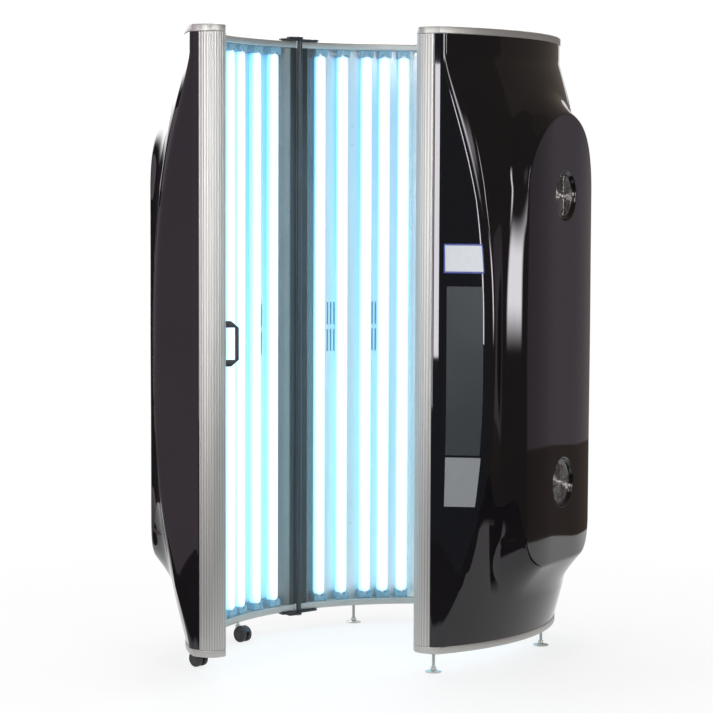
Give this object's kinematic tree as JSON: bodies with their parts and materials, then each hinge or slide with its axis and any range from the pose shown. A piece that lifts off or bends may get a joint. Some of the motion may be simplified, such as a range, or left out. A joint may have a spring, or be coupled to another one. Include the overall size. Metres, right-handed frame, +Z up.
{
  "type": "vertical tanning booth",
  "caption": "Stand-up tanning booth: curved banks of tall lamps on a triangular plan, with a hinged door section on castors, glossy outer shells, cooling fans and levelling feet.",
  "frame": {"origin": "middle of the booth's footprint with the door as pictured, on the floor", "axes": "+Z up, -Y towards the front opening, +X along the back section towards the fixed side section"},
  "size_m": [1.3912, 1.0444, 1.9589],
  "materials": {
    "silver": "satin anodised extrusion and trim",
    "shell": "gloss black moulding",
    "dark": "satin dark grey",
    "black": "satin black",
    "lamp": "coated lamp tubes, lit",
    "acrylic": "clear polished sheet",
    "mirror": "bright reflector sheet",
    "steel": "grey painted steel",
    "zinc": "zinc plated"
  },
  "bodies": {
    "fixed": {"back_top_frame": "silver", "back_bottom_frame": "silver", "back_shell": "shell", "back_shield": "acrylic", "back_reflector": "mirror", "back_lamp_bank": "lamp", "back_ballast_rack": "steel", "back_left_stile": "dark", "back_right_stile": "dark", "back_lower_fan_housing": "black", "back_upper_fan_housing": "black", "side_top_frame": "silver", "side_bottom_frame": "silver", "side_shell": "shell", "side_shield": "acrylic", "side_reflector": "mirror", "side_lamp_bank": "lamp", "side_ballast_rack": "steel", "side_left_stile": "dark", "side_post": "silver", "side_lower_fan_housing": "black", "side_upper_fan_housing": "black", "top_hinge_fixed_leaf": "black", "top_hinge_pin": "zinc", "top_corner_plate": "black", "bottom_hinge_fixed_leaf": "black", "bottom_hinge_pin": "zinc", "bottom_corner_plate": "black"},
    "door": {"door_top_frame": "silver", "door_bottom_frame": "silver", "door_shell": "shell", "door_shield": "acrylic", "door_reflector": "mirror", "door_lamp_bank": "lamp", "door_ballast_rack": "steel", "door_post": "silver", "door_right_stile": "dark", "door_lower_fan_housing": "black", "door_upper_fan_housing": "black", "door_handle": "black", "top_hinge_door_leaf": "black", "bottom_hinge_door_leaf": "black"},
    "inner_castor": {"inner_castor_yoke": "black"},
    "inner_wheels": {"inner_castor_wheels": "black"},
    "front_castor": {"front_castor_yoke": "black"},
    "front_wheels": {"front_castor_wheels": "black"},
    "back_lower_impeller": {"back_lower_fan_impeller": "black"},
    "back_upper_impeller": {"back_upper_fan_impeller": "black"},
    "side_lower_impeller": {"side_lower_fan_impeller": "black"},
    "side_upper_impeller": {"side_upper_fan_impeller": "black"},
    "door_lower_impeller": {"door_lower_fan_impeller": "black"},
    "door_upper_impeller": {"door_upper_fan_impeller": "black"},
    "back_left_foot": {"back_left_foot": "zinc"},
    "back_right_foot": {"back_right_foot": "zinc"},
    "side_front_foot": {"side_front_foot": "zinc"},
    "side_rear_foot": {"side_rear_foot": "zinc"}
  },
  "joints": [
    {"name": "door_swing", "type": "hinge", "parent": "fixed", "child": "door", "pos_m": [-0.24193, 0.2472, 1], "axis": [0, 0, 1], "range_deg": [-60, 41]},
    {"name": "inner_castor_swivel", "type": "hinge", "parent": "door", "child": "inner_castor", "pos_m": [-0.43682, 0.04729, 0.05], "axis": [0, 0, 1], "continuous": true},
    {"name": "inner_wheels_roll", "type": "hinge", "parent": "inner_castor", "child": "inner_wheels", "pos_m": [-0.42173, 0.03417, 0.025], "axis": [0.6561, 0.7547, 0], "continuous": true},
    {"name": "front_castor_swivel", "type": "hinge", "parent": "door", "child": "front_castor", "pos_m": [-0.56086, -0.32994, 0.05], "axis": [0, 0, 1], "continuous": true},
    {"name": "front_wheels_roll", "type": "hinge", "parent": "front_castor", "child": "front_wheels", "pos_m": [-0.54576, -0.34306, 0.025], "axis": [0.6561, 0.7547, 0], "continuous": true},
    {"name": "back_lower_fan_spin", "type": "hinge", "parent": "fixed", "child": "back_lower_impeller", "pos_m": [0.14857, 0.4972, 0.554], "axis": [0, 1, 0], "continuous": true},
    {"name": "back_upper_fan_spin", "type": "hinge", "parent": "fixed", "child": "back_upper_impeller", "pos_m": [0.14857, 0.4972, 1.442], "axis": [0, 1, 0], "continuous": true},
    {"name": "side_lower_fan_spin", "type": "hinge", "parent": "fixed", "child": "side_lower_impeller", "pos_m": [0.56033, -0.21598, 0.554], "axis": [0.866, -0.5, 0], "continuous": true},
    {"name": "side_upper_fan_spin", "type": "hinge", "parent": "fixed", "child": "side_upper_impeller", "pos_m": [0.56033, -0.21598, 1.442], "axis": [0.866, -0.5, 0], "continuous": true},
    {"name": "door_lower_fan_spin", "type": "hinge", "parent": "door", "child": "door_lower_impeller", "pos_m": [-0.60794, -0.03745, 0.554], "axis": [-0.9426, 0.3338, 0], "continuous": true},
    {"name": "door_upper_fan_spin", "type": "hinge", "parent": "door", "child": "door_upper_impeller", "pos_m": [-0.60794, -0.03745, 1.442], "axis": [-0.9426, 0.3338, 0], "continuous": true},
    {"name": "back_left_foot_level", "type": "slide", "parent": "fixed", "child": "back_left_foot", "axis": [0, 0, 1], "range_m": [-0.01, 0.01]},
    {"name": "back_right_foot_level", "type": "slide", "parent": "fixed", "child": "back_right_foot", "axis": [0, 0, 1], "range_m": [-0.01, 0.01]},
    {"name": "side_front_foot_level", "type": "slide", "parent": "fixed", "child": "side_front_foot", "axis": [0, 0, 1], "range_m": [-0.01, 0.01]},
    {"name": "side_rear_foot_level", "type": "slide", "parent": "fixed", "child": "side_rear_foot", "axis": [0, 0, 1], "range_m": [-0.01, 0.01]}
  ]
}
